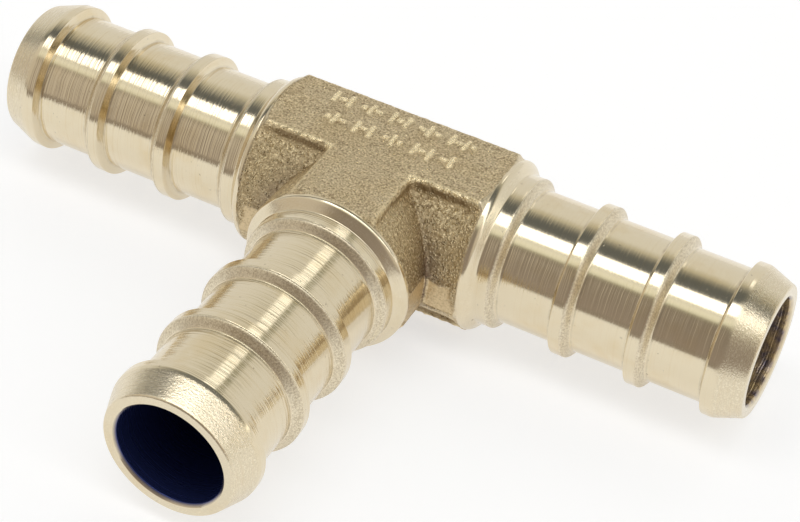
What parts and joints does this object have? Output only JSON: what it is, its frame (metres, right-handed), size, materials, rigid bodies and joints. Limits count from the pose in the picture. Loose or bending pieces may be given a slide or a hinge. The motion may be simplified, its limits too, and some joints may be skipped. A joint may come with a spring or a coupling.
{
  "type": "barbed tee connector",
  "caption": "Forged brass barbed tee: straight run and a side branch, each ending in a ribbed spigot that a flexible tube pushes over.",
  "frame": {"origin": "where the run axis and the branch axis cross", "axes": "+X along the run, the branch points along -Y, +Z normal to the marked pad"},
  "size_m": [0.047, 0.0286, 0.0102],
  "materials": {
    "forged_brass": "as forged and shot blasted",
    "turned_brass": "bright turned"
  },
  "bodies": {
    "root": {"forged_body": "forged_brass", "left_run_barb": "turned_brass", "right_run_barb": "turned_brass", "branch_barb": "turned_brass"}
  },
  "joints": []
}
